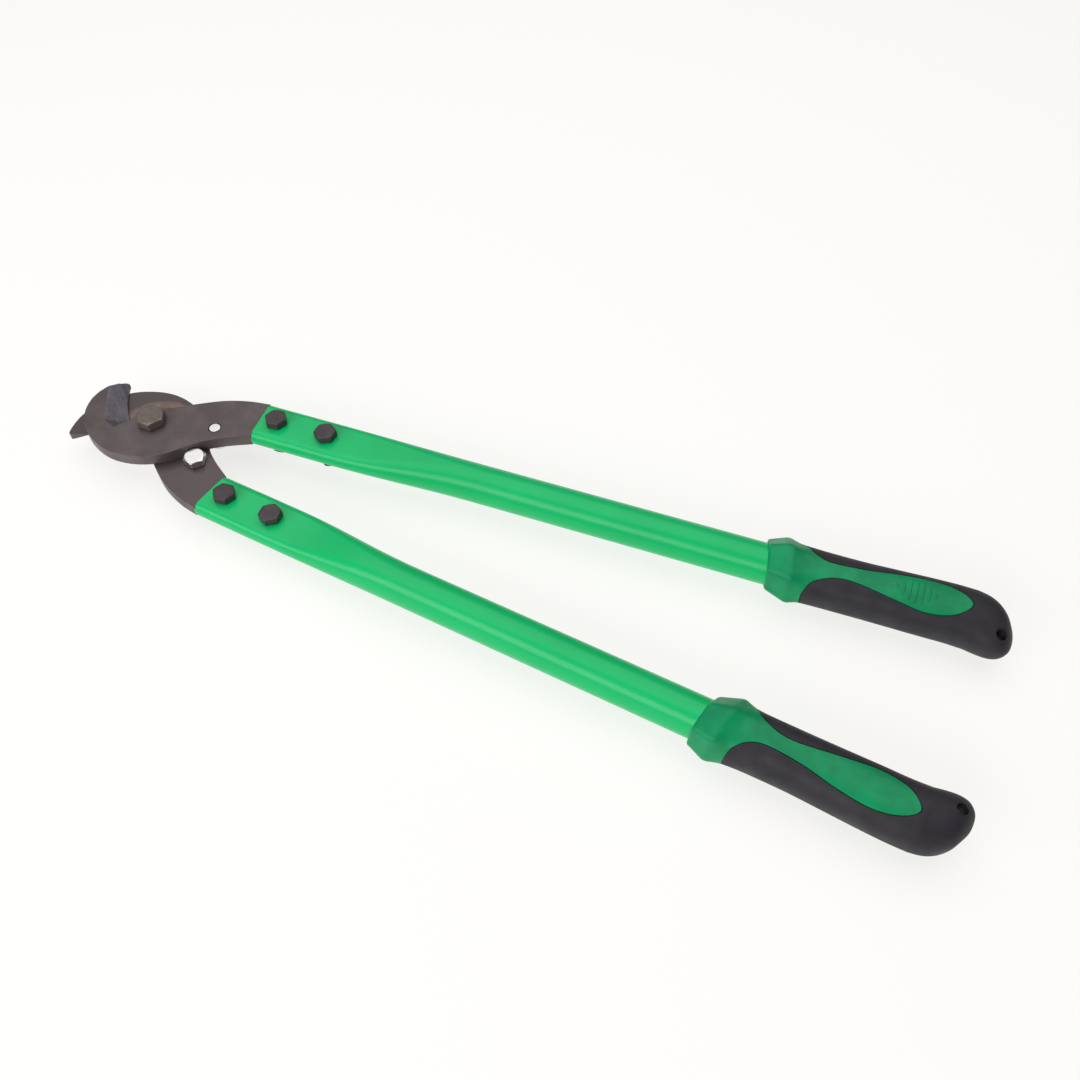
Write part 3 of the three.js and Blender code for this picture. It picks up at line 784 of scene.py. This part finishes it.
def grip_skin():
    """The soft black moulding round the leaf, with the hang hole through its end."""
    half_seam = sizes().seam / MM / 2
    skin = combine(grip_body(), collar_block(half_seam), "DIFFERENCE")
    skin = combine(skin, leaf_prism(half_seam), "DIFFERENCE")
    skin = combine(skin, sleeve_bore(**SKIN_BORE), "DIFFERENCE")
    return combine(skin, hang_hole(), "DIFFERENCE")


# Operators

def fit(piece, body, cad_node):
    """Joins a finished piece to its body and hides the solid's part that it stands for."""
    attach(piece, body)
    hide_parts(cad_node)


class CUTTER_OT_jaws(bpy.types.Operator):
    """Builds both forged jaws"""
    bl_idname = "cutter.jaws"
    bl_label = "Jaws"

    def execute(self, context):
        colour = colours().oxide
        materials = [
            black_oxide("black_oxide_forged_steel", colour),
            rubbed_steel("rubbed_steel_edge", "#B5A59B"),
            ground_bevel("ground_steel_bevel", "#77727A"),
            mating_face("scraped_mating_face", shade(colour, 0.88)),
        ]
        for arm in ARMS:
            piece = finish_piece(jaw(arm), arm + "_jaw", arm_matrix(arm), materials, 30)
            fit(piece, arm + "_arm", "jaw_" + arm)
        return {"FINISHED"}


class CUTTER_OT_pivot(bpy.types.Operator):
    """Builds the pivot's bolt, washer and nut"""
    bl_idname = "cutter.pivot"
    bl_label = "Pivot"

    def execute(self, context):
        rubbed = black_oxide("rubbed_pivot_steel", "#7C716B", 0.6, 5)
        dark = black_oxide("black_oxide_pivot_hardware", colours().bolt_oxide, metallic=0.35)
        thickness = 2
        seat = MATING_Z + JAW_MIDDLE * 2 - HALF_GAP + SEAM_GAP
        bolt = hex_bolt(M10, seat)
        shift(bolt, z=seat)
        piece = finish_piece(bolt, "pivot_hex_bolt", Matrix(), [rubbed])
        fit(piece, "lower_arm", "pivot_bolt")
        below = 2 * MATING_Z - seat
        ring = washer(10, 5.4, thickness)
        shift(ring, z=below)
        piece = finish_piece(ring, "pivot_plain_washer", Matrix(), [dark])
        fit(piece, "lower_arm", "pivot_washer")
        nut = hex_nut(M10)
        shift(nut, z=below - thickness - SEAM_GAP)
        piece = finish_piece(nut, "pivot_hex_nut", Matrix(), [dark])
        fit(piece, "lower_arm", "pivot_nut")
        return {"FINISHED"}


class CUTTER_OT_stop_bolts(bpy.types.Operator):
    """Builds the zinc-plated bolt in each jaw that stops the other jaw"""
    bl_idname = "cutter.stop_bolts"
    bl_label = "Stop bolts"

    def execute(self, context):
        zinc = zinc_plate()
        for arm in ARMS:
            bolt = hex_bolt(M8, 8 + SEAM_GAP)
            turned = Matrix.Rotation(STOP_TURN, 4, "Z") @ Matrix.Rotation(pi, 4, "X")
            at = Matrix.Translation((*STOP_AT, HALF_GAP - SEAM_GAP))
            piece = finish_piece(bolt, arm + "_stop_screw", arm_matrix(arm) @ at @ turned, [zinc])
            fit(piece, arm + "_arm", "stop_bolt_" + arm)
        return {"FINISHED"}


class CUTTER_OT_tubes(bpy.types.Operator):
    """Builds the two painted handle tubes"""
    bl_idname = "cutter.tubes"
    bl_label = "Handle tubes"

    def execute(self, context):
        paint = gloss_paint()
        for arm in ARMS:
            piece = finish_piece(tube(), arm + "_tube", handle_matrix(arm), [paint], 40)
            fit(piece, arm + "_arm", "handle_tube_" + arm)
        return {"FINISHED"}


class CUTTER_OT_handle_bolts(bpy.types.Operator):
    """Builds the bolts and flanged nuts that hold the tubes on the jaws"""
    bl_idname = "cutter.handle_bolts"
    bl_label = "Handle bolts"

    def execute(self, context):
        colour = colours().bolt_oxide
        dark = black_oxide("black_oxide_bolt_steel", colour, 0.5, 8, 0.35)
        # Painted shade: the nuts take 0.6 of the bolts' oxide colour to stand in for the shadow
        # under the tubes
        nut_painted_shade = black_oxide("black_oxide_nut_painted_shade", shade(colour, 0.6), 0.5, 8, 0.2)
        reach = FLAT_HALF + SEAM_GAP
        turns = {("lower", "front"): 12, ("lower", "rear"): 40, ("upper", "front"): 5,
                 ("upper", "rear"): 26}
        for arm in ARMS:
            upright = Matrix() if arm == "upper" else Matrix.Rotation(pi, 4, "X")
            for end in ENDS:
                at = Matrix.Translation((BOLT_ALONG[end], -FLAT_INBOARD, JAW_MIDDLE))
                turned = Matrix.Rotation(radians(turns[arm, end]), 4, "Z")
                matrix = handle_matrix(arm) @ at @ upright @ turned
                bolt = hex_bolt(M8, 2 * reach + M8.nut + 0.8)
                shift(bolt, z=reach)
                piece = finish_piece(bolt, "_".join((arm, end, "hex_bolt")), matrix, [dark])
                fit(piece, arm + "_arm", "_".join(("handle_bolt", arm, end)))
                nut = hex_nut(M8, flange=(8.9, 1.5))
                shift(nut, z=-reach)
                piece = finish_piece(nut, "_".join((arm, end, "flange_nut")), matrix, [nut_painted_shade])
                fit(piece, arm + "_arm", "_".join(("handle_nut", arm, end)))
        return {"FINISHED"}


class CUTTER_OT_grips(bpy.types.Operator):
    """Builds the two-material grips"""
    bl_idname = "cutter.grips"
    bl_label = "Grips"

    def execute(self, context):
        plastic = grip_plastic()
        rubber = grip_rubber()
        twist = Matrix.Rotation(GRIP_TWIST, 4, "X")
        for arm in ARMS:
            matrix = handle_matrix(arm) @ twist
            piece = finish_piece(grip_core(), arm + "_grip_core", matrix, [plastic], 38)
            fit(piece, arm + "_arm", "grip_core_" + arm)
            piece = finish_piece(grip_skin(), arm + "_grip_skin", matrix, [rubber], 38)
            fit(piece, arm + "_arm", "grip_skin_" + arm)
        return {"FINISHED"}


def area_light(name, place, target, size, power):
    """A white rectangular light that points at the target, in metres and watts."""
    data = bpy.data.lights.new(name, "AREA")
    data.shape = "RECTANGLE"
    data.size, data.size_y = size
    data.energy = power
    light = bpy.data.objects.new(name, data)
    light.location = place
    light.rotation_euler = (Vector(target) - Vector(place)).to_track_quat("-Z", "Y").to_euler()
    bpy.context.scene.collection.objects.link(light)


class CUTTER_OT_stage(bpy.types.Operator):
    """Builds the pale floor, the soft light and the camera"""
    bl_idname = "cutter.stage"
    bl_label = "Stage"

    def execute(self, context):
        scene = context.scene
        scene.view_settings.view_transform = "Standard"
        bm = bmesh.new()
        bmesh.ops.create_grid(bm, x_segments=1, y_segments=1, size=6)
        mesh = bpy.data.meshes.new("floor")
        bm.to_mesh(mesh)
        bm.free()
        floor = bpy.data.objects.new("floor", mesh)
        floor.location.z = -0.0005
        scene.collection.objects.link(floor)
        # Seamless white paper, lit evenly enough to lose nearly all shadow
        made, _, shader, _ = new_material("white_paper_floor")
        shader.inputs["Base Color"].default_value = linear("#8A8988")
        shader.inputs["Roughness"].default_value = 1
        shader.inputs["Specular IOR Level"].default_value = 0
        shader.inputs["Emission Color"].default_value = linear("#FCFBF9")
        shader.inputs["Emission Strength"].default_value = 0.79
        mesh.materials.append(made)

        world = bpy.data.worlds.new("studio")
        scene.world = world
        world.use_nodes = True
        background = world.node_tree.nodes["Background"]
        background.inputs["Color"].default_value = linear("#FBFAF8")
        background.inputs["Strength"].default_value = 0.15

        area_light("side_softbox", (-0.2, -1.3, 0.8), (0.2, 0, 0), (2.0, 0.7), 17)
        area_light("top_softbox", (0.15, 0.35, 1.4), (0.25, 0, 0), (2.2, 1.8), 17)

        azimuth, pitch, roll = radians(114.671), radians(52.70), radians(-0.505)
        ahead = Vector((cos(azimuth) * cos(pitch), sin(azimuth) * cos(pitch), -sin(pitch)))
        right = ahead.cross(Vector((0, 0, 1))).normalized()
        up = right.cross(ahead)
        right, up = (cos(roll) * right + sin(roll) * up, cos(roll) * up - sin(roll) * right)
        data = bpy.data.cameras.new("camera")
        data.lens = 35.1416
        data.sensor_width = 36
        data.shift_x = -0.00426
        data.shift_y = 0.0189
        data.clip_start = 0.01
        data.clip_end = 50
        camera = bpy.data.objects.new("camera", data)
        turned = Matrix((right, up, -ahead)).transposed()
        camera.matrix_world = Matrix.Translation((0.44166, -0.34338, 0.52559)) @ turned.to_4x4()
        scene.collection.objects.link(camera)
        scene.camera = camera
        return {"FINISHED"}


OPERATORS = (CUTTER_OT_stage, CUTTER_OT_jaws, CUTTER_OT_pivot, CUTTER_OT_stop_bolts,
             CUTTER_OT_tubes, CUTTER_OT_handle_bolts, CUTTER_OT_grips)


class CUTTER_PT_build(bpy.types.Panel):
    """Lists the cutter's settings and pieces"""
    bl_label = "Cable Cutter"
    bl_idname = "CUTTER_PT_build"
    bl_space_type = "VIEW_3D"
    bl_region_type = "UI"
    bl_category = "Cable Cutter"

    def draw(self, context):
        for group in (context.scene.cutter_sizes, context.scene.cutter_colours):
            for name in group.__annotations__:
                self.layout.prop(group, name)
        for operator in OPERATORS:
            self.layout.operator(operator.bl_idname)


CLASSES = (CutterSizes, CutterColours, *OPERATORS, CUTTER_PT_build)


def register():
    for cls in CLASSES:
        bpy.utils.register_class(cls)
    bpy.types.Scene.cutter_sizes = bpy.props.PointerProperty(type=CutterSizes)
    bpy.types.Scene.cutter_colours = bpy.props.PointerProperty(type=CutterColours)


def unregister():
    del bpy.types.Scene.cutter_colours
    del bpy.types.Scene.cutter_sizes
    for cls in reversed(CLASSES):
        bpy.utils.unregister_class(cls)


def main():
    register()
    bpy.ops.cutter.stage()
    bpy.ops.cutter.jaws()
    bpy.ops.cutter.pivot()
    bpy.ops.cutter.stop_bolts()
    bpy.ops.cutter.tubes()
    bpy.ops.cutter.handle_bolts()
    bpy.ops.cutter.grips()


if __name__ == "__main__":
    main()
